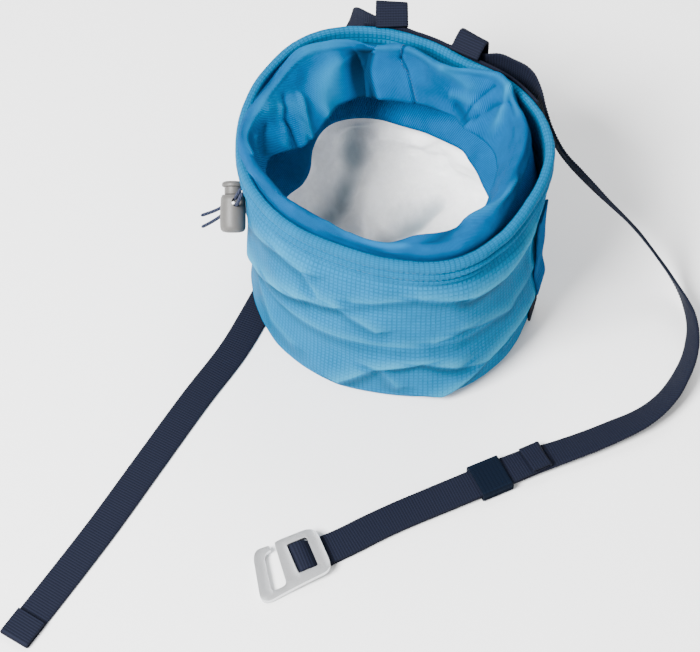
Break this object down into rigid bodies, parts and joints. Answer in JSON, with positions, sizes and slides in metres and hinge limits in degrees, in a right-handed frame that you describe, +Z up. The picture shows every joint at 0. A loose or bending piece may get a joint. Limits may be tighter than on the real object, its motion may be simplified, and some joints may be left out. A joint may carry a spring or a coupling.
{
  "type": "climbing chalk bag",
  "caption": "Round chalk bag of ripstop cloth with a folded twill collar, a fleece lining, a drawcord lock and a webbing waist belt with a flat hook, standing open.",
  "frame": {"origin": "centre of the round base, on the surface that the bag stands on", "axes": "+Z up, +Y from the bag's front to its back where the belt loops are, +X to its right"},
  "size_m": [0.3266, 0.3101, 0.1159],
  "materials": {
    "ripstop": "thin ripstop nylon with a raised grid and a faint sheen",
    "twill": "matt twill weave",
    "fleece": "thick curly pile",
    "webbing": "ribbed polyester webbing",
    "keeper_webbing": "flat woven tape",
    "hook_metal": "satin, rounded edges",
    "lock_plastic": "moulded, slightly glossy",
    "drawcord": "thin braided cord"
  },
  "bodies": {
    "root": {"shell": "ripstop", "rim_hem": "ripstop", "collar": "twill", "fleece_lining": "fleece", "back_tape": "webbing", "belt_loop_left": "webbing", "belt_loop_right": "webbing", "belt_back": "webbing", "belt_left": "webbing", "belt_left_end": "webbing", "belt_right": "webbing", "belt_tail": "webbing", "keeper": "keeper_webbing", "g_hook": "hook_metal", "cord_lock_body": "lock_plastic", "cord_lock_button": "lock_plastic", "drawcord_end_upper": "drawcord", "drawcord_end_lower": "drawcord", "side_loop": "twill", "side_webbing": "webbing"}
  },
  "joints": []
}
